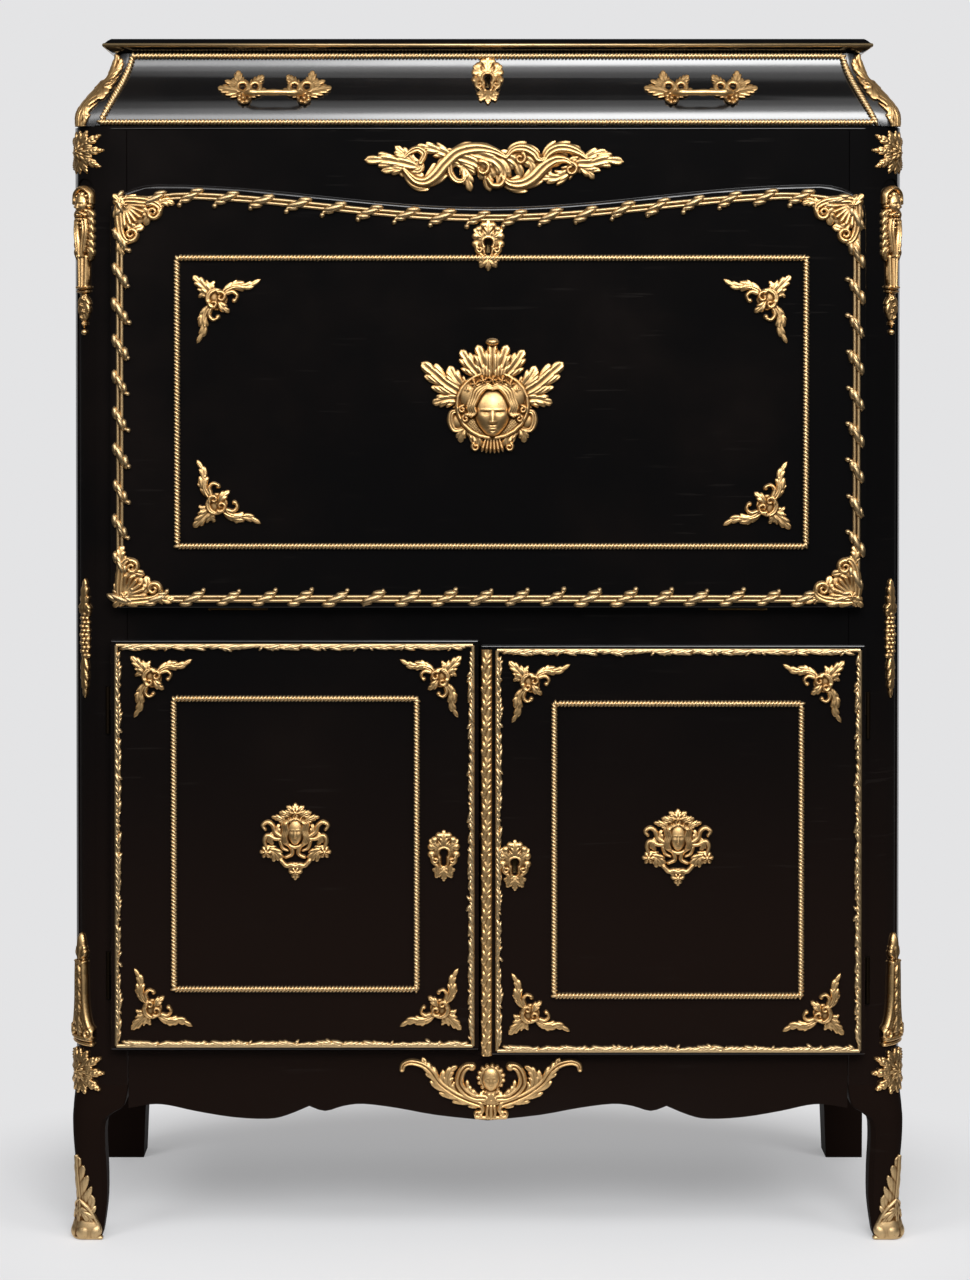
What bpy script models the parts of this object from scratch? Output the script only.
"""Fall-front secretary: a case with an ogee top drawer, a fall-front desk and a two-door cupboard.

Metres, +Z up. The front faces -Y, +X is on the viewer's right, and the floor is Z = 0.
"""

import math

import bmesh
import bpy
from mathutils import Matrix

# Case
CASE_WIDTH = 1.002
CASE_DEPTH = 0.410
MOUNT_RELIEF = 0.040  # how far the proudest mount stands before the case front
POST_SIZE = 0.068
POST_ROUND = 0.049  # radius of the posts' outer corners
CORNER_STEPS = 6
POST_CHAMFER = 0.001
PANEL_SINK = 0.002  # sunk arched panel on each round corner
PANEL_WIDTH = 0.036
PANEL_BOTTOM_MARGIN = 0.003
PANEL_TOP_MARGIN = 0.062
BACK_POST_SIZE = 0.056
BACK_FOOT_SIZE = 0.048
SIDE_THICK = 0.020
SIDE_SINK = 0.004  # side panels lie this far inside the posts' outer faces
BACK_THICK = 0.012
BOARD = 0.018
RAIL_THICK = 0.025
JOINT_GAP = 0.0003  # between glued or resting faces
RUN_GAP = 0.0006  # between faces that slide

# Heights, stacked from the floor
APRON_TOP = 0.230
CUPBOARD_HEIGHT = 0.457
MIDDLE_RAIL_HEIGHT = 0.058
DESK_HEIGHT = 0.457
FRIEZE_HEIGHT = 0.121
CORNICE_HEIGHT = 0.092
TOP_THICK = 0.017

# Legs
LEG_HEIGHT = 0.188
FOOT_BEVEL = 0.003
SABOT_HEIGHT = 0.104
SABOT_THICK = 0.003
TOE_HEIGHT = 0.034
TOE_SWELL = 0.006
SABOT_WRAP = 0.016
APRON_THICK = 0.022
SIDE_DROP = 0.065  # from the cupboard floor down to the side panels' lower ends
SIDE_ARCH = 0.020

# Cornice and top drawer
CORNICE_SETBACK = 0.006
CORNICE_LEAN = 0.041
CORNICE_ROUND = 0.016
CORNICE_LEVELS = 12
DRAWER_END_LOW = 0.023  # from the cornice's outline in to the drawer's end, below
DRAWER_END_HIGH = 0.020  # and above
DRAWER_END_BEND = 1.3
DRAWER_FRONT_BACK = 0.070  # from the case front to the flat back of the drawer front
CORNICE_WALL = 0.039  # least thickness of the cornice beside the drawer
DRAWER_GUIDE_GAP = 0.004
DRAWER_TOP_ROOM = 0.016
DRAWER_BACK_ROOM = 0.018
DRAWER_WALL = 0.010
DRAWER_BOTTOM = 0.008
TOP_OVERHANG = 0.011
PULL_SHARE = 0.514  # of half the case width
PULL_RISE_SHARE = 0.40  # of the cornice height
PULL_SPAN = 0.080
PULL_REACH = 0.024
PULL_RADIUS = 0.0032
PULL_SEAT = 0.010
PULL_HOLE_GAP = 0.0004

# Fall-front
PANEL_GAP = 0.0006  # between the case front and the panels that lie on it
FALL_THICK = 0.018
DOOR_THICK = 0.018
EDGE_ROUND = 0.004
OVERLAY_INSET = 0.0005  # panels stop this far short of the posts' round corners
FALL_DIP = 0.023  # top edge above the desk opening, at the middle
FALL_CREST = 0.050  # and at its two crests
FALL_CREST_IN = 0.0565  # from the fall's edge in to a crest
FALL_SHOULDER = 0.035
FALL_CORNER = 0.012
LEATHER_THICK = 0.0012
LEATHER_SIDE = 0.0615
LEATHER_LOW = 0.060
LEATHER_HIGH = 0.067
MASK_WIDTH = 0.090
MASK_HEIGHT = 0.110
MASK_RELIEF = 0.021
MASK_SHARE = 0.525  # of the desk opening's height

# Stays of the fall: arcs about its hinge, each with a lug that a slot in the post stops
STAY_RADIUS = 0.200
STAY_WIDTH = 0.010
STAY_THICK = 0.004
STAY_FOOT = 0.020
STAY_FOOT_THICK = 0.003
STAY_STOP = 0.016
STAY_LUG = 0.008
STAY_LUG_LENGTH = 0.007
STAY_CLEAR = 0.0015

# Doors
DOOR_LAP_LOW = 0.0135
DOOR_LAP_HIGH = 0.021
RIGHT_DOOR_DROP = 0.006  # the right door hangs lower
MEETING_X = -0.010
MEETING_GAP = 0.0015
DOOR_CORNER = 0.002
ASTRAGAL_WIDTH = 0.016
ASTRAGAL_RELIEF = 0.009
ASTRAGAL_TOP = 0.005
ASTRAGAL_INSET = 0.0006

# Hinges
KNUCKLE_RADIUS = 0.003
PIN_RADIUS = 0.0015
BORE_GAP = 0.0001
LEAF_THICK = 0.0015
LEAF_WIDTH = 0.018
DOOR_HINGE_OUT = 0.0050  # hinge axis outside the door's edge
DOOR_HINGE_HEIGHT = 0.056
DOOR_HINGE_MARGIN = 0.058  # from the door's ends
FALL_HINGE_IN = 0.1515  # from the fall's edge in to a hinge's middle
FALL_HINGE_END = 0.022
FALL_HINGE_MIDDLE = 0.026
KNUCKLE_GAP = 0.0004

# Locks
LOCK_WIDTH = 0.064
LOCK_HEIGHT = 0.046
LOCK_THICK = 0.012
BOLT_WIDTH = 0.018
BOLT_THICK = 0.006
BOLT_SEAT = 0.026
BOLT_THROW = 0.010
STRIKE_GAP = 0.001
LOCK_TOP_GAP = 0.003
KEYHOLE_RADIUS = 0.0035
KEYHOLE_SLOT = 0.004
KEYHOLE_DROP = 0.012
DRAWER_KEY_SHARE = 0.66  # of the cornice height
FALL_KEY_DROP = 0.0195
DOOR_LOCK_X = 0.032
DOOR_KEY_SHARE = 0.47  # of the door height

# Cupboard and desk fittings
SHELF_SHARE = 0.492  # of the cupboard height
SHELF_SETBACK = 0.002
FITTING_DEPTH = 0.168
FITTING_THICK = 0.010
FITTING_HEIGHT = 0.086
DIVIDER_SHARE = 0.473  # of half the width between the posts
SMALL_WALL = 0.008
SMALL_FRONT = 0.014
SMALL_BOTTOM = 0.006
SMALL_TOP_GAP = 0.003
KNOB_RADIUS = 0.008
KNOB_STEM = 0.004
KNOB_REACH = 0.018
KNOB_SHARE = 0.49  # of half the small drawer's width

# Gilt terms and volutes on the posts
TERM_TOP_DROP = 0.070
TERM_HEIGHT = 0.182
VOLUTE_MARGIN = 0.006  # above the apron's top
VOLUTE_HEIGHT = 0.134

# Levels and planes worked out from the sizes above
HALF = CASE_WIDTH / 2
FRONT = MOUNT_RELIEF - (CASE_DEPTH + MOUNT_RELIEF) / 2
BACK = FRONT + CASE_DEPTH
FLOOR_TOP = APRON_TOP + BOARD
CUPBOARD_TOP = FLOOR_TOP + CUPBOARD_HEIGHT
DESK = CUPBOARD_TOP + MIDDLE_RAIL_HEIGHT
DESK_TOP = DESK + DESK_HEIGHT
CASE_TOP = DESK_TOP + FRIEZE_HEIGHT
CORNICE_TOP = CASE_TOP + CORNICE_HEIGHT
TOP = CORNICE_TOP + TOP_THICK
POST_IN = HALF - POST_SIZE
BACK_POST_IN = HALF - BACK_POST_SIZE
SIDE_IN = HALF - SIDE_SINK - SIDE_THICK
BACK_PANEL_FRONT = BACK - BACK_THICK
PANEL_BACK = FRONT - PANEL_GAP
HINGE_Y = FRONT - PANEL_GAP / 2
OVERLAY = HALF - POST_ROUND - OVERLAY_INSET
DOOR_HINGE_X = OVERLAY + DOOR_HINGE_OUT
DOOR_BOTTOM = FLOOR_TOP - DOOR_LAP_LOW
DOOR_TOP = CUPBOARD_TOP + DOOR_LAP_HIGH
DRAWER_BACK = FRONT + DRAWER_FRONT_BACK
CORNICE_IN = HALF - CORNICE_SETBACK - CORNICE_LEAN - CORNICE_WALL
DRAWER_BOX_HALF = CORNICE_IN - DRAWER_GUIDE_GAP
PULL_X = PULL_SHARE * HALF
PULL_Z = CASE_TOP + PULL_RISE_SHARE * CORNICE_HEIGHT
FALL_CREST_X = OVERLAY - FALL_CREST_IN
FALL_HINGE_X = OVERLAY - FALL_HINGE_IN
DIVIDER_X = DIVIDER_SHARE * POST_IN
STAY_IN = POST_IN - RUN_GAP
FITTING_FRONT = BACK_PANEL_FRONT - JOINT_GAP - FITTING_DEPTH


# Shape helpers


def smoother(share):
    """An S-curve from 0 to 1 that is level at both ends."""
    share = min(max(share, 0.0), 1.0)
    return share**3 * (share * (6 * share - 15) + 10)


def smooth_curve(points, steps):
    """A Catmull-Rom curve through the points, with this many steps between neighbours."""
    ends = [points[0], *points, points[-1]]
    curve = []
    for before, start, end, after in zip(ends, ends[1:], ends[2:], ends[3:]):
        for step in range(steps):
            t = step / steps
            weights = (
                -0.5 * t + t**2 - 0.5 * t**3,
                1 - 2.5 * t**2 + 1.5 * t**3,
                0.5 * t + 2 * t**2 - 1.5 * t**3,
                -0.5 * t**2 + 0.5 * t**3,
            )
            near = zip(before, start, end, after)
            curve.append(tuple(sum(w * v for w, v in zip(weights, values)) for values in near))
    return curve + [tuple(points[-1])]


def loft(loops):
    """A closed solid through loops of equally many points, capped at both ends."""
    mesh = bmesh.new()
    rings = [[mesh.verts.new(point) for point in loop] for loop in loops]
    for low, high in zip(rings, rings[1:]):
        for i in range(len(low)):
            j = (i + 1) % len(low)
            mesh.faces.new((low[i], low[j], high[j], high[i]))
    mesh.faces.new(rings[0])
    mesh.faces.new(rings[-1])
    bmesh.ops.recalc_face_normals(mesh, faces=mesh.faces)
    return mesh


def prism(outline, axis, low, high):
    """An outline pushed along X (as y, z), Y (as x, z) or Z (as x, y)."""
    place = {
        "X": lambda u, v, w: (w, u, v),
        "Y": lambda u, v, w: (u, w, v),
        "Z": lambda u, v, w: (u, v, w),
    }[axis]
    return loft([[place(u, v, w) for u, v in outline] for w in (low, high)])


def box(x0, x1, y0, y1, z0, z1):
    return prism([(x0, y0), (x1, y0), (x1, y1), (x0, y1)], "Z", z0, z1)


def mirrored_box(side, x0, x1, y0, y1, z0, z1):
    """A box given for the right half, placed on the side +1 or -1."""
    left, right = sorted((side * x0, side * x1))
    return box(left, right, y0, y1, z0, z1)


def circle(radius, count, centre=(0.0, 0.0), start=0.0):
    turns = [start + math.tau * i / count for i in range(count)]
    return [(centre[0] + radius * math.cos(a), centre[1] + radius * math.sin(a)) for a in turns]


def inset(outline, distance):
    """The counter-clockwise outline moved inward by a distance."""
    moved = []
    for i, (u, v) in enumerate(outline):
        before, after = outline[i - 1], outline[(i + 1) % len(outline)]
        first = math.atan2(v - before[1], u - before[0])
        second = math.atan2(after[1] - v, after[0] - u)
        turn = math.remainder(second - first, math.tau) / 2
        reach = distance / math.cos(turn)
        normal = first + turn + math.pi / 2
        moved.append((u + reach * math.cos(normal), v + reach * math.sin(normal)))
    return moved


def round_slab(outline, back, front, radius):
    """A panel with its outline in x, z, whose front edges are rounded."""
    loops = [[(x, back, z) for x, z in outline]]
    for degrees in (0, 35, 65, 90):
        angle = math.radians(degrees)
        shrunk = inset(outline, radius * (1 - math.cos(angle)))
        depth = front + radius * (1 - math.sin(angle))
        loops.append([(x, depth, z) for x, z in shrunk])
    return loft(loops)


def tube(points, radius, sides):
    """A round bar along points that lie in one level plane."""
    loops = []
    for i, (x, y, z) in enumerate(points):
        before, after = points[max(i - 1, 0)], points[min(i + 1, len(points) - 1)]
        heading = math.atan2(after[1] - before[1], after[0] - before[0])
        ring = circle(radius, sides)
        loops.append([(x - u * math.sin(heading), y + u * math.cos(heading), z + v) for u, v in ring])
    return loft(loops)


def rounded_rectangle(x0, x1, z0, z1, radius):
    corners = [(x1 - radius, z1 - radius, 0), (x0 + radius, z1 - radius, 90)]
    corners += [(x0 + radius, z0 + radius, 180), (x1 - radius, z0 + radius, 270)]
    outline = []
    for x, z, start in corners:
        for degrees in (start, start + 45, start + 90):
            angle = math.radians(degrees)
            outline.append((x + radius * math.cos(angle), z + radius * math.sin(angle)))
    return outline


# Objects, materials and bodies


def material(name, colour, roughness, metallic):
    made = bpy.data.materials.new(name)
    made.use_nodes = True
    shader = made.node_tree.nodes["Principled BSDF"]
    shader.inputs["Base Color"].default_value = (*colour, 1.0)
    shader.inputs["Roughness"].default_value = roughness
    shader.inputs["Metallic"].default_value = metallic
    return made


def add_object(name, mesh):
    data = bpy.data.meshes.new(name)
    mesh.to_mesh(data)
    mesh.free()
    made = bpy.data.objects.new(name, data)
    bpy.context.collection.objects.link(made)
    return made


def combine(target, mesh, operation):
    """Cut the shape out of the target, or join it on."""
    tool = add_object("tool", mesh)
    modifier = target.modifiers.new("combine", "BOOLEAN")
    modifier.object = tool
    modifier.operation = operation
    evaluated = target.evaluated_get(bpy.context.evaluated_depsgraph_get())
    result = bpy.data.meshes.new_from_object(evaluated)
    target.modifiers.clear()
    target.data = result
    bpy.data.objects.remove(tool)


def piece(name, mesh, look, body, cuts=(), joins=()):
    """One part of the secretary, with its origin at its body's joint."""
    made = add_object(name, mesh)
    for shape in joins:
        combine(made, shape, "UNION")
    for shape in cuts:
        combine(made, shape, "DIFFERENCE")
    made.data.materials.clear()
    made.data.materials.append(look)
    made.data.transform(Matrix.Translation(-body.location))
    made.parent = body
    made.data.shade_smooth()
    made.data.set_sharp_from_angle(angle=math.radians(35))
    return made


def body_at(name, place):
    """An empty on the axis of a joint, which carries that body's pieces."""
    made = bpy.data.objects.new(name, None)
    made.location = place
    bpy.context.collection.objects.link(made)
    return made


# Case


def board_outline(front, back):
    """A board between the side panels, notched round the posts at its corners."""
    inside = SIDE_IN - JOINT_GAP
    post = POST_IN - JOINT_GAP
    post_back = FRONT + POST_SIZE + JOINT_GAP
    back_post = BACK_POST_IN - JOINT_GAP
    back_post_front = BACK - BACK_POST_SIZE - JOINT_GAP
    right = [(post, front), (post, post_back), (inside, post_back)]
    if front >= post_back:
        right = [(inside, front)]
    right += [(inside, back_post_front), (back_post, back_post_front), (back_post, back)]
    return right + [(-x, y) for x, y in reversed(right)]


def leg_stations():
    """Levels of a front post and leg: height, outward swing, width, corner radius and chamfer."""
    shares = [
        (0.0, 0.004, 0.031, 0.010, 0.005),
        (0.10, 0.006, 0.032, 0.011, 0.005),
        (0.25, 0.007, 0.034, 0.012, 0.006),
        (0.44, 0.0035, 0.0375, 0.014, 0.006),
        (0.63, 0.0, 0.0395, 0.018, 0.006),
        (0.76, -0.0015, 0.0425, 0.024, 0.005),
        (0.82, -0.0015, 0.052, 0.030, 0.003),
        (0.87, -0.0015, 0.065, 0.037, 0.002),
        (1.0, 0.0, POST_SIZE, POST_ROUND, POST_CHAMFER),
    ]
    curve = smooth_curve(shares, 3)
    _, swing, width, radius, chamfer = shares[0]
    sole = (0.0, swing + FOOT_BEVEL, width - 2 * FOOT_BEVEL, radius, chamfer)
    return [sole] + [(max(share * LEG_HEIGHT, FOOT_BEVEL), *rest) for share, *rest in curve]


def round_corner(x, y, radius):
    """An arc from the side to the front, for the right-hand corner whose centre is at x, y."""
    turns = [math.pi / 2 * i / CORNER_STEPS for i in range(CORNER_STEPS + 1)]
    return [(x + radius * math.cos(a), y - radius * math.sin(a)) for a in turns]


def leg_loop(side, height, swing, width, radius, chamfer):
    """The plan of a post or leg at one height."""
    x1, y0 = HALF - swing, FRONT + swing
    x0, y1 = x1 - width, y0 + width
    plan = round_corner(x1 - radius, y0 + radius, radius)
    plan += [(x0 + chamfer, y0), (x0, y0 + chamfer), (x0, y1 - chamfer)]
    plan += [(x0 + chamfer, y1), (x1 - chamfer, y1), (x1, y1 - chamfer)]
    return [(side * x, y, height) for x, y in plan]


def corner_frame(side):
    """Places a shape made as (along, height, outward) on the middle of a post's round corner."""
    slope = math.sqrt(0.5)
    inset = POST_ROUND * (1 - slope)
    middle = (side * (HALF - inset), FRONT + inset, 0.0)
    along = (-side * slope, -slope, 0.0)
    outward = (side * slope, -slope, 0.0)
    axes = Matrix((along, (0.0, 0.0, 1.0), outward)).transposed().to_4x4()
    return Matrix.Translation(middle) @ axes


def on_corner(side, mesh):
    mesh.transform(corner_frame(side))
    mesh.normal_update()
    bmesh.ops.recalc_face_normals(mesh, faces=mesh.faces)
    return mesh


def sunk_panel(side):
    """The arch-topped shape cut into a post's round corner."""
    half = PANEL_WIDTH / 2
    bottom = APRON_TOP + PANEL_BOTTOM_MARGIN
    spring = CASE_TOP - PANEL_TOP_MARGIN - half
    loops = []
    for i in range(9):
        share = -math.cos(math.pi * i / 8)
        turn = math.pi / 4 + share * half / POST_ROUND
        top = spring + half * math.sqrt(1 - share**2)
        loop = []
        for radius, z in ((-1, bottom), (1, bottom), (1, top), (-1, top)):
            reach = POST_ROUND + radius * PANEL_SINK
            x = HALF - POST_ROUND + reach * math.cos(turn)
            loop.append((side * x, FRONT + POST_ROUND - reach * math.sin(turn), z))
        loops.append(loop)
    return loft(loops)


def stay_angle():
    """How far behind upright a stay's lug stands when the fall is open."""
    return math.asin((STAY_STOP + STAY_LUG / 2 + RUN_GAP + PANEL_GAP / 2) / STAY_RADIUS)


def stay_slot(side):
    """The slot in a post that a stay's lug runs along and stops in."""
    back = (POST_SIZE + PANEL_GAP) / STAY_RADIUS
    lowest = DESK + STAY_RADIUS * math.sqrt(1 - back**2) - STAY_LUG / 2 - STAY_CLEAR
    highest = DESK + STAY_RADIUS + STAY_LUG / 2 + STAY_CLEAR
    depth = POST_IN + STAY_LUG_LENGTH + STAY_CLEAR
    past = FRONT + POST_SIZE + STAY_CLEAR
    return mirrored_box(side, POST_IN - STAY_CLEAR, depth, FRONT + STAY_STOP, past, lowest, highest)


def hinge_centres(drop):
    low = DOOR_BOTTOM - drop + DOOR_HINGE_MARGIN + DOOR_HINGE_HEIGHT / 2
    high = DOOR_TOP - drop - DOOR_HINGE_MARGIN - DOOR_HINGE_HEIGHT / 2
    return {"lower": low, "upper": high}


def door_leaf_recess(side, height, part, face, inward):
    """Room for one leaf of a door hinge in a post (inward +1) or a door (inward -1)."""
    half = DOOR_HINGE_HEIGHT / 2
    low, high = {"fixed": (-half, 0.0), "moving": (0.0, half)}[part]
    deep = face + inward * (LEAF_THICK + JOINT_GAP)
    near, far = sorted((face - inward * LEAF_THICK, deep))
    inner = DOOR_HINGE_X - LEAF_WIDTH - JOINT_GAP
    ends = (height + low - JOINT_GAP, height + high + JOINT_GAP)
    return mirrored_box(side, inner, DOOR_HINGE_X, near, far, *ends)


def knuckle_recess(side, height):
    """Room in a post for the barrel of a door hinge."""
    outline = circle(KNUCKLE_RADIUS + KNUCKLE_GAP, 14, (side * DOOR_HINGE_X, HINGE_Y))
    half = DOOR_HINGE_HEIGHT / 2 + KNUCKLE_GAP
    return prism(outline, "Z", height - half, height + half)


def add_posts(root, lacquer):
    for side, name in ((-1, "left_post"), (1, "right_post")):
        levels = leg_stations() + [(CASE_TOP, 0.0, POST_SIZE, POST_ROUND, POST_CHAMFER)]
        cuts = [sunk_panel(side), stay_slot(side)]
        drop = RIGHT_DOOR_DROP if side > 0 else 0.0
        for height in hinge_centres(drop).values():
            cuts.append(door_leaf_recess(side, height, "fixed", FRONT, 1))
            cuts.append(knuckle_recess(side, height))
        piece(name, loft([leg_loop(side, *level) for level in levels]), lacquer, root, cuts)


def add_back_posts(root, lacquer):
    for side, name in ((-1, "left_back_post"), (1, "right_back_post")):
        loops = []
        for height, size in ((0.0, BACK_FOOT_SIZE), (LEG_HEIGHT, BACK_POST_SIZE), (CASE_TOP, BACK_POST_SIZE)):
            plan = [(HALF - size, BACK - size), (HALF, BACK - size), (HALF, BACK), (HALF - size, BACK)]
            loops.append([(side * x, y, height) for x, y in plan])
        piece(name, loft(loops), lacquer, root)


def add_sides(root, lacquer):
    front = FRONT + POST_SIZE + JOINT_GAP
    back = BACK - BACK_POST_SIZE - JOINT_GAP
    shares = [i / 10 for i in range(11)]
    low = APRON_TOP - SIDE_DROP
    edge = [(front + (back - front) * s, low + SIDE_ARCH * math.sin(math.pi * s)) for s in shares]
    outline = [*edge, (back, CASE_TOP), (front, CASE_TOP)]
    for side, name in ((-1, "left_side"), (1, "right_side")):
        ends = sorted((side * SIDE_IN, side * (HALF - SIDE_SINK)))
        piece(name, prism(outline, "X", *ends), lacquer, root)


def add_back_panel(root, inner_wood):
    wide = BACK_POST_IN - JOINT_GAP
    narrow = CORNICE_IN - JOINT_GAP
    right = [(wide, APRON_TOP), (wide, CASE_TOP - JOINT_GAP), (narrow, CASE_TOP - JOINT_GAP)]
    right.append((narrow, CORNICE_TOP - JOINT_GAP))
    outline = right + [(-x, z) for x, z in reversed(right)]
    piece("back_panel", prism(outline, "Y", BACK_PANEL_FRONT, BACK), inner_wood, root)


def stay_slots_in_floor():
    """Slots in the desk floor that the ends of the stays drop through."""
    slots = []
    reach = STAY_RADIUS + STAY_WIDTH / 2 + STAY_CLEAR
    near = STAY_RADIUS - STAY_WIDTH / 2 - 2 * STAY_CLEAR
    for side in (-1, 1):
        inner = STAY_IN - STAY_THICK - STAY_CLEAR
        outer = POST_IN + STAY_LUG_LENGTH + STAY_CLEAR
        ends = (DESK - 2 * BOARD, DESK + BOARD)
        slots.append(mirrored_box(side, inner, outer, FRONT + near, FRONT + reach, *ends))
    return slots


def add_boards(root, lacquer, inner_wood):
    back = BACK_PANEL_FRONT - JOINT_GAP
    behind_rail = FRONT + RAIL_THICK + JOINT_GAP
    floor = prism(board_outline(FRONT, back), "Z", APRON_TOP, FLOOR_TOP)
    piece("cupboard_floor", floor, lacquer, root)
    shelf_front = FRONT + POST_SIZE + JOINT_GAP + SHELF_SETBACK
    shelf_low = FLOOR_TOP + SHELF_SHARE * CUPBOARD_HEIGHT
    shelf = prism(board_outline(shelf_front, back), "Z", shelf_low, shelf_low + BOARD)
    piece("cupboard_shelf", shelf, inner_wood, root)
    desk = prism(board_outline(behind_rail, back), "Z", DESK - BOARD, DESK)
    piece("desk_floor", desk, inner_wood, root, stay_slots_in_floor())
    dust = prism(board_outline(behind_rail, back), "Z", CASE_TOP - BOARD, CASE_TOP)
    piece("dust_board", dust, inner_wood, root)


def strike(x, y, level):
    """The mortise that a lock's bolt shoots up into."""
    half = BOLT_WIDTH / 2 + STRIKE_GAP
    depth = BOLT_THICK / 2 + STRIKE_GAP
    rise = level + BOLT_THROW + STRIKE_GAP
    return box(x - half, x + half, y - depth, y + depth, level - STRIKE_GAP, rise)


def bolt_depth(face):
    """The middle of a bolt, for a lock on this back face."""
    return face + JOINT_GAP + LOCK_THICK / 2


def fall_hinge_half():
    return FALL_HINGE_END + FALL_HINGE_MIDDLE / 2 + KNUCKLE_GAP


def fall_hinge_recesses(part):
    """Room for the knuckles and one leaf of each fall hinge, in the rail or the fall."""
    half = fall_hinge_half() + JOINT_GAP
    barrel = KNUCKLE_RADIUS + STRIKE_GAP
    deep = LEAF_THICK + JOINT_GAP
    reach = LEAF_WIDTH + JOINT_GAP
    cuts = []
    for side in (-1, 1):
        ends = (side * FALL_HINGE_X - half, side * FALL_HINGE_X + half)
        if part == "fixed":
            cuts.append(box(*ends, FRONT - barrel, HINGE_Y + barrel, DESK - barrel, DESK + barrel))
            cuts.append(box(*ends, FRONT, HINGE_Y + reach, DESK - deep, DESK + barrel))
        else:
            cuts.append(box(*ends, HINGE_Y - barrel, FRONT + barrel, DESK - barrel, DESK + barrel))
            cuts.append(box(*ends, PANEL_BACK - deep, FRONT + barrel, DESK, DESK + reach))
    return cuts


def add_rails(root, lacquer):
    end = POST_IN - JOINT_GAP
    behind = FRONT + RAIL_THICK
    lock_y = bolt_depth(PANEL_BACK)
    frieze = box(-end, end, FRONT, behind, DESK_TOP, CASE_TOP)
    piece("frieze_rail", frieze, lacquer, root, [strike(0.0, lock_y, DESK_TOP)])
    middle = box(-end, end, FRONT, behind, CUPBOARD_TOP, DESK)
    cuts = [strike(DOOR_LOCK_X, lock_y, CUPBOARD_TOP), *fall_hinge_recesses("fixed")]
    piece("middle_rail", middle, lacquer, root, cuts)


def apron_edge():
    """The right half of the scalloped edge: distance from the middle and drop below the top."""
    middle = [(0.0, 0.085), (0.143, 0.0785), (0.252, 0.070), (0.346, 0.065), (0.402, 0.0675), (0.453, 0.0735)]
    cusp = (0.497, 0.0675)
    outer = [(0.559, 0.0785), (0.612, 0.083), (0.709, 0.081), (0.815, 0.0735), (0.889, 0.0665)]
    end = [(0.938, 0.0655), (1.0, 0.070)]
    edge = smooth_curve([*middle, cusp], 3)[:-1] + smooth_curve([cusp, *outer, *end], 3)
    return [(share * (POST_IN - JOINT_GAP), drop) for share, drop in edge]


def add_apron(root, lacquer):
    top = APRON_TOP - JOINT_GAP
    edge = [(x, APRON_TOP - drop) for x, drop in apron_edge()]
    right = [*edge, (edge[-1][0], top)]
    outline = right + [(-x, z) for x, z in reversed(right[1:])]
    piece("apron", prism(outline, "Y", FRONT, FRONT + APRON_THICK), lacquer, root)


# Cornice, top board and top drawer


def cornice_lean(z):
    return CORNICE_LEAN * smoother((z - CASE_TOP) / CORNICE_HEIGHT)


def cornice_half(z):
    return HALF - CORNICE_SETBACK - cornice_lean(z)


def cornice_front(z):
    return FRONT + CORNICE_SETBACK + cornice_lean(z)


def drawer_end(z):
    """Half the width of the drawer front, which narrows upwards."""
    low = HALF - CORNICE_SETBACK - DRAWER_END_LOW
    high = HALF - CORNICE_SETBACK - CORNICE_LEAN - DRAWER_END_HIGH
    share = min(max((z - CASE_TOP) / CORNICE_HEIGHT, 0.0), 1.0)
    return high + (low - high) * (1 - share) ** DRAWER_END_BEND


def cornice_heights(low, high):
    return [low + (high - low) * i / CORNICE_LEVELS for i in range(CORNICE_LEVELS + 1)]


def add_cornice(root, lacquer):
    rebate = DRAWER_BACK + RUN_GAP
    for side, name in ((-1, "left_cornice"), (1, "right_cornice")):
        loops = []
        for z in cornice_heights(CASE_TOP + JOINT_GAP, CORNICE_TOP):
            outer, front, end = cornice_half(z), cornice_front(z), drawer_end(z) + RUN_GAP
            plan = [(outer, BACK)]
            plan += round_corner(outer - CORNICE_ROUND, front + CORNICE_ROUND, CORNICE_ROUND)
            plan += [(end, front), (end, rebate), (CORNICE_IN, rebate), (CORNICE_IN, BACK)]
            loops.append([(side * x, y, z) for x, y in plan])
        piece(name, loft(loops), lacquer, root)


def add_top_board(root, lacquer):
    """A board with a beaked nosing on its front and sides."""
    low = CORNICE_TOP + JOINT_GAP
    wide = cornice_half(CORNICE_TOP) + TOP_OVERHANG
    front = cornice_front(CORNICE_TOP) - TOP_OVERHANG
    loops = []
    nosing = ((0.0, 0.85), (0.25, 0.25), (0.45, 0.0), (0.62, 0.05), (0.85, 0.40), (1.0, 0.75))
    for rise, share in nosing:
        z = low + (TOP - low) * rise
        back_in = TOP_OVERHANG * share
        x, y = wide - back_in, front + back_in
        loops.append([(-x, y, z), (x, y, z), (x, BACK, z), (-x, BACK, z)])
    piece("top_board", loft(loops), lacquer, root, [strike(0.0, bolt_depth(DRAWER_BACK), low)])


def keyhole(x, z, front, back):
    """The hole for a key through a panel."""
    ring = [math.radians(-60 + 30 * i) for i in range(11)]
    head = [(x + KEYHOLE_RADIUS * math.cos(a), z + KEYHOLE_RADIUS * math.sin(a)) for a in ring]
    half = KEYHOLE_SLOT / 2
    outline = [*head, (x - half, z - KEYHOLE_DROP), (x + half, z - KEYHOLE_DROP)]
    return prism(outline, "Y", front, back)


def pull_path(side):
    """From inside the drawer front, out, across and back in again."""
    y = cornice_front(PULL_Z)
    half = PULL_SPAN / 2
    bend = PULL_REACH / 2
    path = [(-half, PULL_SEAT), (-half, bend - PULL_REACH)]
    for angle in (0.4, 0.8, 1.2):
        path.append((bend * (1 - math.cos(angle)) - half, bend * (1 - math.sin(angle)) - PULL_REACH))
    path.append((bend - half, -PULL_REACH))
    path += [(-x, reach) for x, reach in reversed(path)]
    return [(side * PULL_X + x, y + reach, PULL_Z) for x, reach in path]


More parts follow.
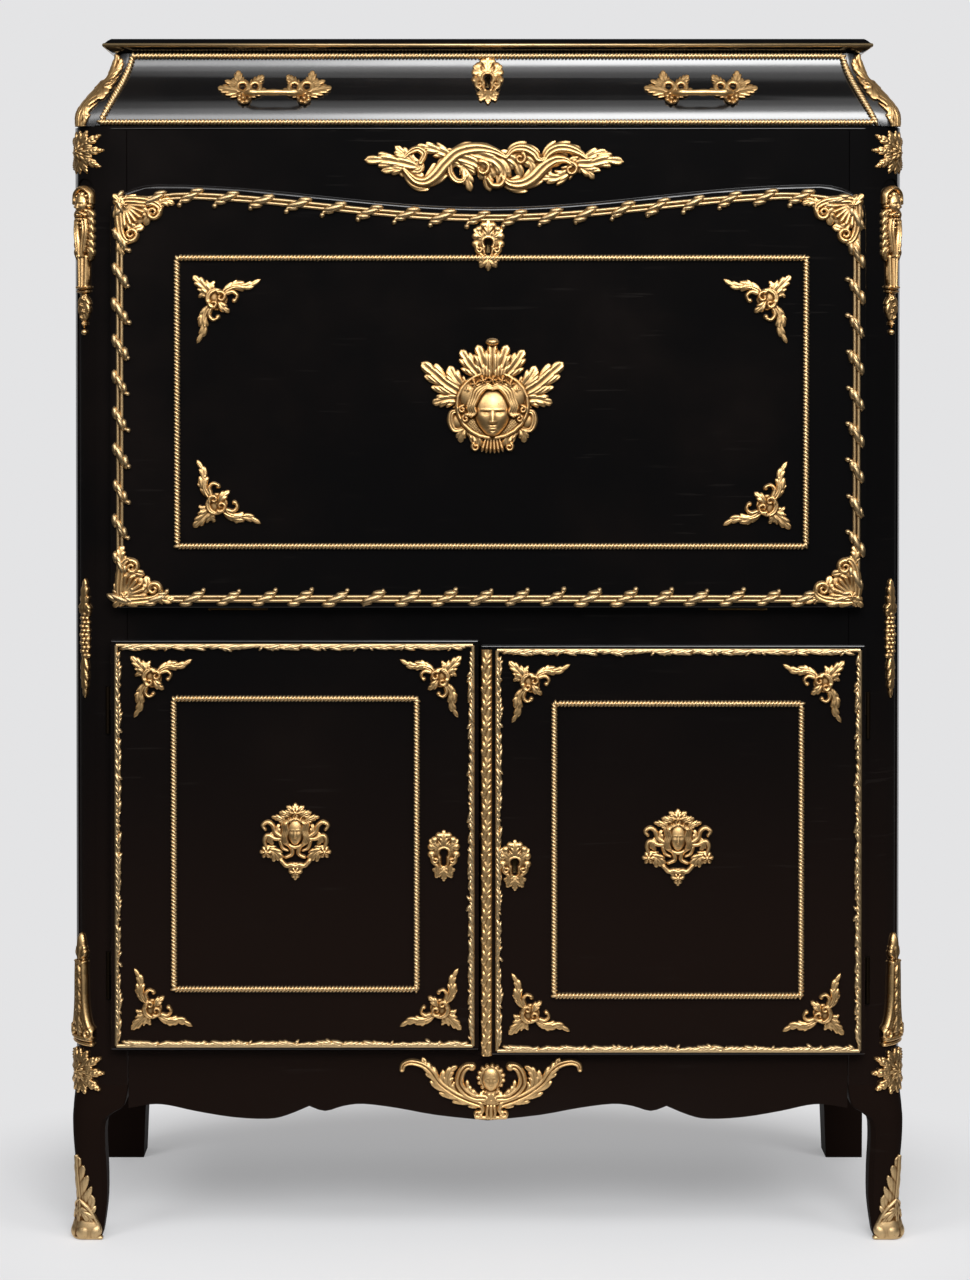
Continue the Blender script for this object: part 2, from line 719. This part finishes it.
def pull_holes():
    holes = []
    depth = cornice_front(PULL_Z) + PULL_SEAT + JOINT_GAP
    for side in (-1, 1):
        for end in (-1, 1):
            centre = (side * PULL_X + end * PULL_SPAN / 2, PULL_Z)
            outline = circle(PULL_RADIUS + PULL_HOLE_GAP, 12, centre)
            holes.append(prism(outline, "Y", FRONT - MOUNT_RELIEF, depth))
    return holes


def add_drawer(drawer, lacquer, inner_wood, gilt):
    low, high = CASE_TOP + 2 * RUN_GAP, CORNICE_TOP - RUN_GAP
    loops = []
    for z in cornice_heights(low, high):
        x, y = drawer_end(z), cornice_front(z)
        loops.append([(-x, y, z), (x, y, z), (x, DRAWER_BACK, z), (-x, DRAWER_BACK, z)])
    key_z = CASE_TOP + DRAWER_KEY_SHARE * CORNICE_HEIGHT
    key = keyhole(0.0, key_z, FRONT - MOUNT_RELIEF, DRAWER_BACK + MOUNT_RELIEF)
    piece("drawer_front", loft(loops), lacquer, drawer, [key, *pull_holes()])
    half = DRAWER_BOX_HALF
    start = DRAWER_BACK + JOINT_GAP
    end = BACK_PANEL_FRONT - DRAWER_BACK_ROOM
    bottom = CASE_TOP + RUN_GAP
    tray = box(-half, half, start, end, bottom, CORNICE_TOP - DRAWER_TOP_ROOM)
    room = half - DRAWER_WALL
    hollow = box(-room, room, FRONT, end - DRAWER_WALL, bottom + DRAWER_BOTTOM, CORNICE_TOP)
    piece("drawer_box", tray, inner_wood, drawer, [hollow])
    for side, name in ((-1, "left_pull"), (1, "right_pull")):
        piece(name, tube(pull_path(side), PULL_RADIUS, 10), gilt, drawer)


# Locks


def add_lock(name, body, looks, place, throw_body, bolt_top):
    """A lock case on a back face, with a bolt that shoots upwards."""
    brass, steel = looks
    x, face, top = place
    start = face + JOINT_GAP
    half = LOCK_WIDTH / 2
    case = box(x - half, x + half, start, start + LOCK_THICK, top - LOCK_HEIGHT, top)
    middle = bolt_depth(face)
    wide, thick = BOLT_WIDTH / 2, BOLT_THICK / 2
    low = top - BOLT_SEAT
    room = box(
        x - wide - JOINT_GAP, x + wide + JOINT_GAP,
        middle - thick - JOINT_GAP, middle + thick + JOINT_GAP,
        low - JOINT_GAP, top + LOCK_HEIGHT,
    )
    piece(f"{name}_lock", case, brass, body, [room])
    bolt = box(x - wide, x + wide, middle - thick, middle + thick, low, bolt_top)
    piece(f"{name}_bolt", bolt, steel, throw_body)


# Fall-front


def fall_outline():
    """The fall's outline: a serpentine top edge between two crests."""
    bottom = DESK + RUN_GAP
    dip, crest = DESK_TOP + FALL_DIP, DESK_TOP + FALL_CREST
    right = []
    for i in range(13):
        share = i / 12
        right.append((FALL_CREST_X * share, dip + (crest - dip) * (1 - math.cos(math.pi * share)) / 2))
    wide = OVERLAY - FALL_CREST_X
    for i in range(1, 7):
        angle = math.pi / 2 * (1 - i / 6)
        drop = FALL_SHOULDER * (math.sin(angle) - 1)
        right.append((FALL_CREST_X + wide * math.cos(angle), crest + drop))
    for degrees in (0, 30, 60, 90):
        angle = math.radians(degrees)
        x = OVERLAY - FALL_CORNER * (1 - math.cos(angle))
        right.append((x, bottom + FALL_CORNER * (1 - math.sin(angle))))
    return list(reversed(right)) + [(-x, z) for x, z in right[1:]]


def add_fall(fall, lacquer, leather, gilt):
    front = PANEL_BACK - FALL_THICK
    half = OVERLAY - LEATHER_SIDE
    low = DESK + LEATHER_LOW
    high = DESK_TOP - LEATHER_HIGH
    gap = JOINT_GAP
    sunk = PANEL_BACK - LEATHER_THICK - gap
    recess = box(-half - gap, half + gap, sunk, FRONT, low - gap, high + gap)
    key = keyhole(0.0, DESK_TOP - FALL_KEY_DROP, front - MOUNT_RELIEF, FRONT)
    panel = round_slab(fall_outline(), PANEL_BACK, front, EDGE_ROUND)
    piece("fall_panel", panel, lacquer, fall, [recess, key, *fall_hinge_recesses("moving")])
    sheet = box(-half, half, PANEL_BACK - LEATHER_THICK, PANEL_BACK, low, high)
    piece("writing_leather", sheet, leather, fall)
    loops = []
    for size, relief in ((1.0, 0.0), (1.0, 0.3), (0.86, 0.62), (0.6, 0.88), (0.25, 1.0)):
        y = front - gap - MASK_RELIEF * relief
        ring = circle(size / 2, 20)
        middle = DESK + MASK_SHARE * DESK_HEIGHT
        loops.append([(u * MASK_WIDTH, y, middle + v * MASK_HEIGHT) for u, v in ring])
    piece("fall_mask", loft(loops), gilt, fall)


def add_stays(fall, brass):
    """Quadrant bars that turn with the fall and stop it level."""
    start = PANEL_BACK + JOINT_GAP
    foot = start + STAY_FOOT_THICK
    inner, outer = STAY_RADIUS - STAY_WIDTH / 2, STAY_RADIUS + STAY_WIDTH / 2
    last = math.pi / 2 + stay_angle()
    end = last + STAY_LUG / 2 / STAY_RADIUS
    first = math.asin((foot - HINGE_Y) / inner)
    turns = [first + (end - first) * i / 16 for i in range(17)]

    def arc(radius):
        return [(HINGE_Y + radius * math.sin(a), DESK + radius * math.cos(a)) for a in turns]

    level = DESK + STAY_RADIUS
    below = [(start, level - STAY_FOOT), (foot, level - STAY_FOOT)]
    above = [(foot, level + STAY_FOOT), (start, level + STAY_FOOT)]
    outline = [*below, *arc(inner), *reversed(arc(outer)), *above]
    lug_y = HINGE_Y + STAY_RADIUS * math.sin(last)
    lug_z = DESK + STAY_RADIUS * math.cos(last)
    for side, name in ((-1, "left_stay"), (1, "right_stay")):
        ends = sorted((side * (STAY_IN - STAY_THICK), side * STAY_IN))
        half = STAY_LUG / 2
        reach = POST_IN + STAY_LUG_LENGTH
        inside = STAY_IN - STAY_THICK / 2
        ring = circle(half, 12, (lug_y, lug_z))
        lug = prism(ring, "X", *sorted((side * inside, side * reach)))
        piece(name, prism(outline, "X", *ends), brass, fall, joins=[lug])


def knuckle(radius, start, end):
    return prism(circle(radius, 14, (HINGE_Y, DESK)), "X", start, end)


def add_fall_hinges(root, fall, brass):
    """Butt hinges along the fall's lower edge: the fixed half holds the pin."""
    middle = FALL_HINGE_MIDDLE / 2
    half = fall_hinge_half()
    clear = KNUCKLE_RADIUS + KNUCKLE_GAP
    tab = clear + LEAF_THICK
    for side, name in ((-1, "left_fall_hinge"), (1, "right_fall_hinge")):
        x = side * FALL_HINGE_X
        leaf_y = (HINGE_Y + clear, HINGE_Y + LEAF_WIDTH)
        fixed = box(x - half, x + half, *leaf_y, DESK - LEAF_THICK, DESK)
        joins = [knuckle(PIN_RADIUS, x - half + KNUCKLE_GAP, x + half - KNUCKLE_GAP)]
        for end in (-1, 1):
            span = sorted((x + end * half, x + end * (half - FALL_HINGE_END)))
            joins.insert(0, knuckle(KNUCKLE_RADIUS, *span))
            joins.insert(0, box(*span, HINGE_Y, HINGE_Y + tab, DESK - LEAF_THICK, DESK))
        piece(f"{name}_base", fixed, brass, root, joins=joins)
        face = (PANEL_BACK - LEAF_THICK, PANEL_BACK)
        moving = box(x - half, x + half, *face, DESK + clear, DESK + LEAF_WIDTH)
        span = (x - middle, x + middle)
        joins = [box(*span, *face, DESK, DESK + tab), knuckle(KNUCKLE_RADIUS, *span)]
        bore = knuckle(PIN_RADIUS + BORE_GAP, x - half, x + half)
        piece(f"{name}_leaf", moving, brass, fall, [bore], joins)


# Doors


def door_hinge_outline(side, part):
    """The plan of a knuckle with its leaf, about the hinge axis."""
    gap = PANEL_GAP / 2
    low, high = math.asin(gap / KNUCKLE_RADIUS), math.asin((gap + LEAF_THICK) / KNUCKLE_RADIUS)
    steps = [high + (math.tau + low - high) * i / 16 for i in range(17)]
    plan = [(KNUCKLE_RADIUS * math.cos(a), KNUCKLE_RADIUS * math.sin(a)) for a in steps]
    plan += [(LEAF_WIDTH, gap), (LEAF_WIDTH, gap + LEAF_THICK)]
    turn = 1 if part == "fixed" else -1
    return [(side * (DOOR_HINGE_X - u), HINGE_Y + turn * v) for u, v in plan]


def add_door_hinges(root, door, side, drop, brass):
    """Lift-off barrel hinges: the lower half on the post holds the pin."""
    half = DOOR_HINGE_HEIGHT / 2
    axis = (side * DOOR_HINGE_X, HINGE_Y)
    word = "left" if side < 0 else "right"
    for place, height in hinge_centres(drop).items():
        name = f"{word}_door_{place}_hinge"
        fixed = prism(door_hinge_outline(side, "fixed"), "Z", height - half, height - KNUCKLE_GAP / 2)
        pin = prism(circle(PIN_RADIUS, 12, axis), "Z", height - half / 2, height + half - KNUCKLE_GAP)
        piece(f"{name}_base", fixed, brass, root, joins=[pin])
        moving = prism(door_hinge_outline(side, "moving"), "Z", height + KNUCKLE_GAP / 2, height + half)
        bore = prism(circle(PIN_RADIUS + BORE_GAP, 12, axis), "Z", height - half, height + 2 * half)
        piece(f"{name}_leaf", moving, brass, door, [bore])


def add_door(name, door, side, drop, lacquer):
    edge = MEETING_X + side * MEETING_GAP / 2
    x0, x1 = sorted((side * OVERLAY, edge))
    low, high = DOOR_BOTTOM - drop, DOOR_TOP - drop
    front = PANEL_BACK - DOOR_THICK
    cuts = []
    for height in hinge_centres(drop).values():
        cuts.append(door_leaf_recess(side, height, "moving", PANEL_BACK, -1))
    if side > 0:
        key_z = low + DOOR_KEY_SHARE * (high - low)
        cuts.append(keyhole(DOOR_LOCK_X, key_z, front - MOUNT_RELIEF, FRONT))
    outline = rounded_rectangle(x0, x1, low, high, DOOR_CORNER)
    piece(name, round_slab(outline, PANEL_BACK, front, EDGE_ROUND / 2), lacquer, door, cuts)


def add_astragal(door, gilt):
    """The half-round gilt strip on the right door's meeting edge."""
    left = MEETING_X + MEETING_GAP / 2 + ASTRAGAL_INSET
    face = PANEL_BACK - DOOR_THICK - JOINT_GAP
    half = ASTRAGAL_WIDTH / 2
    turns = [math.pi * i / 8 for i in range(9)]
    outline = [(left + half - half * math.cos(a), face - ASTRAGAL_RELIEF * math.sin(a)) for a in turns]
    low, high = DOOR_BOTTOM - RIGHT_DOOR_DROP, DOOR_TOP - RIGHT_DOOR_DROP
    piece("astragal", prism(outline, "Z", low, high - ASTRAGAL_TOP), gilt, door)


# Desk fittings


def add_fittings(root, small, inner_wood, brass):
    back = BACK_PANEL_FRONT - JOINT_GAP
    shelf_low = DESK + FITTING_HEIGHT
    outline = board_outline(FITTING_FRONT, back)
    piece("desk_shelf", prism(outline, "Z", shelf_low, shelf_low + FITTING_THICK), inner_wood, root)
    for side, name in ((-1, "left_divider"), (1, "right_divider")):
        ends = (DIVIDER_X - FITTING_THICK, DIVIDER_X)
        levels = (DESK + JOINT_GAP, shelf_low - JOINT_GAP)
        piece(name, mirrored_box(side, *ends, FITTING_FRONT, back, *levels), inner_wood, root)
    half = DIVIDER_X - FITTING_THICK - RUN_GAP
    low, high = DESK + RUN_GAP, shelf_low - SMALL_TOP_GAP
    tray = box(-half, half, FITTING_FRONT, back - SMALL_WALL, low, high)
    room = half - SMALL_WALL
    depth = (FITTING_FRONT + SMALL_FRONT, back - 2 * SMALL_WALL)
    hollow = box(-room, room, *depth, low + SMALL_BOTTOM, high + FITTING_HEIGHT)
    piece("small_drawer", tray, inner_wood, small, [hollow])
    profile = [(0.0, KNOB_STEM), (0.35, KNOB_STEM), (0.5, 0.8 * KNOB_RADIUS), (0.7, KNOB_RADIUS)]
    profile += [(0.88, 0.8 * KNOB_RADIUS), (1.0, 0.4 * KNOB_RADIUS)]
    for side, name in ((-1, "left_knob"), (1, "right_knob")):
        centre = (side * KNOB_SHARE * half, (low + high) / 2)
        loops = []
        for reach, radius in profile:
            y = FITTING_FRONT - JOINT_GAP - reach * KNOB_REACH
            loops.append([(x, y, z) for x, z in circle(radius, 14, centre)])
        piece(name, loft(loops), brass, small)


# Gilt mounts that stand out from the posts and feet


def relief_loop(height, half, relief):
    """A rounded section of a mount, fitted to the floor of a post's sunk panel."""
    floor = POST_ROUND - PANEL_SINK + JOINT_GAP
    base = []
    for share in (-1, -0.6, -0.2, 0.2, 0.6, 1):
        turn = share * half / floor
        base.append((floor * math.sin(turn), height, floor * math.cos(turn) - POST_ROUND))
    section = [(0.9, 0.6), (0.4, 1), (-0.4, 1), (-0.9, 0.6)]
    return base + [(u * half, height, JOINT_GAP - PANEL_SINK + w * relief) for u, w in section]


def add_post_mounts(root, gilt):
    term = [(0.0, 0.004, 0.006), (0.13, 0.008, 0.010), (0.22, 0.009, 0.012), (0.45, 0.010, 0.012)]
    term += [(0.62, 0.013, 0.016), (0.82, 0.015, 0.020), (0.95, 0.012, 0.017), (1.0, 0.007, 0.008)]
    volute = [(0.0, 0.013, 0.016), (0.12, 0.013, 0.018), (0.35, 0.010, 0.014)]
    volute += [(0.7, 0.007, 0.010), (0.92, 0.006, 0.009), (1.0, 0.002, 0.004)]
    for side, word in ((-1, "left"), (1, "right")):
        low = CASE_TOP - TERM_TOP_DROP - TERM_HEIGHT
        loops = [relief_loop(low + share * TERM_HEIGHT, half, relief) for share, half, relief in term]
        piece(f"{word}_term", on_corner(side, loft(loops)), gilt, root)
        low = APRON_TOP + VOLUTE_MARGIN
        loops = [relief_loop(low + share * VOLUTE_HEIGHT, *rest) for share, *rest in volute]
        piece(f"{word}_volute", on_corner(side, loft(loops)), gilt, root)


def sabot_loop(side, station):
    """The plan of a sabot round the outer corner of a leg, at one height."""
    height, swing, _, radius, _ = station
    share = height / SABOT_HEIGHT
    wrap = SABOT_WRAP * (1 - share) ** 0.7 + SABOT_THICK
    toe = max(0.0, 1 - height / TOE_HEIGHT)
    swell = SABOT_THICK + TOE_SWELL * math.sin(math.pi * min(toe + 0.15, 1.0))
    x, y = HALF - swing - radius, FRONT + swing + radius
    plan = []
    for off in (JOINT_GAP, JOINT_GAP + swell):
        arc = round_corner(x, y, radius + off)
        run = [(arc[0][0], y + wrap), *arc, (x - wrap, arc[-1][1])]
        plan += run if not plan else reversed(run)
    return [(side * x, y, height) for x, y in plan]


def add_sabots(root, gilt):
    stations = [station for station in leg_stations()[1:] if station[0] < SABOT_HEIGHT]
    foot = [(0.0, *stations[0][1:])]
    for side, name in ((-1, "left_sabot"), (1, "right_sabot")):
        piece(name, loft([sabot_loop(side, station) for station in foot + stations]), gilt, root)


def build():
    for old in list(bpy.data.objects):
        bpy.data.objects.remove(old)
    lacquer = material("black_lacquer", (0.006, 0.006, 0.007), 0.22, 0.0)
    inner_wood = material("inner_wood", (0.22, 0.10, 0.045), 0.5, 0.0)
    gilt = material("gilt_bronze", (0.75, 0.52, 0.20), 0.32, 1.0)
    brass = material("brass", (0.70, 0.52, 0.24), 0.35, 1.0)
    steel = material("steel", (0.45, 0.44, 0.42), 0.4, 1.0)
    leather = material("writing_leather", (0.10, 0.02, 0.015), 0.6, 0.0)

    root = body_at("secretary", (0.0, 0.0, 0.0))
    drawer = body_at("drawer_slide", (0.0, DRAWER_BACK, CASE_TOP))
    fall = body_at("fall_hinge", (0.0, HINGE_Y, DESK))
    left = body_at("left_door_hinge", (-DOOR_HINGE_X, HINGE_Y, DOOR_BOTTOM))
    right = body_at("right_door_hinge", (DOOR_HINGE_X, HINGE_Y, DOOR_BOTTOM))
    small = body_at("small_drawer_slide", (0.0, FITTING_FRONT, DESK))

    add_posts(root, lacquer)
    add_back_posts(root, lacquer)
    add_sides(root, lacquer)
    add_back_panel(root, inner_wood)
    add_boards(root, lacquer, inner_wood)
    add_rails(root, lacquer)
    add_apron(root, lacquer)
    add_cornice(root, lacquer)
    add_top_board(root, lacquer)
    add_drawer(drawer, lacquer, inner_wood, gilt)
    add_fall(fall, lacquer, leather, gilt)
    add_stays(fall, brass)
    add_fall_hinges(root, fall, brass)
    add_door("left_door", left, -1, 0.0, lacquer)
    add_door("right_door", right, 1, RIGHT_DOOR_DROP, lacquer)
    add_door_hinges(root, left, -1, 0.0, brass)
    add_door_hinges(root, right, 1, RIGHT_DOOR_DROP, brass)
    add_astragal(right, gilt)
    add_fittings(root, small, inner_wood, brass)
    add_post_mounts(root, gilt)
    add_sabots(root, gilt)

    drawer_lock_top = CORNICE_TOP - RUN_GAP
    fall_lock_top = DESK_TOP - LOCK_TOP_GAP
    door_key = DOOR_BOTTOM - RIGHT_DOOR_DROP + DOOR_KEY_SHARE * (DOOR_TOP - DOOR_BOTTOM)
    door_lock_top = door_key + LOCK_HEIGHT / 2
    locks = (
        ("drawer", drawer, (0.0, DRAWER_BACK, drawer_lock_top), drawer_lock_top),
        ("fall", fall, (0.0, PANEL_BACK, fall_lock_top), fall_lock_top),
        ("door", right, (DOOR_LOCK_X, PANEL_BACK, door_lock_top), CUPBOARD_TOP - STRIKE_GAP),
    )
    for name, carrier, place, bolt_top in locks:
        x, face, top = place
        throw = body_at(f"{name}_bolt_slide", (x, bolt_depth(face), top))
        add_lock(name, carrier, (brass, steel), place, throw, bolt_top)


build()
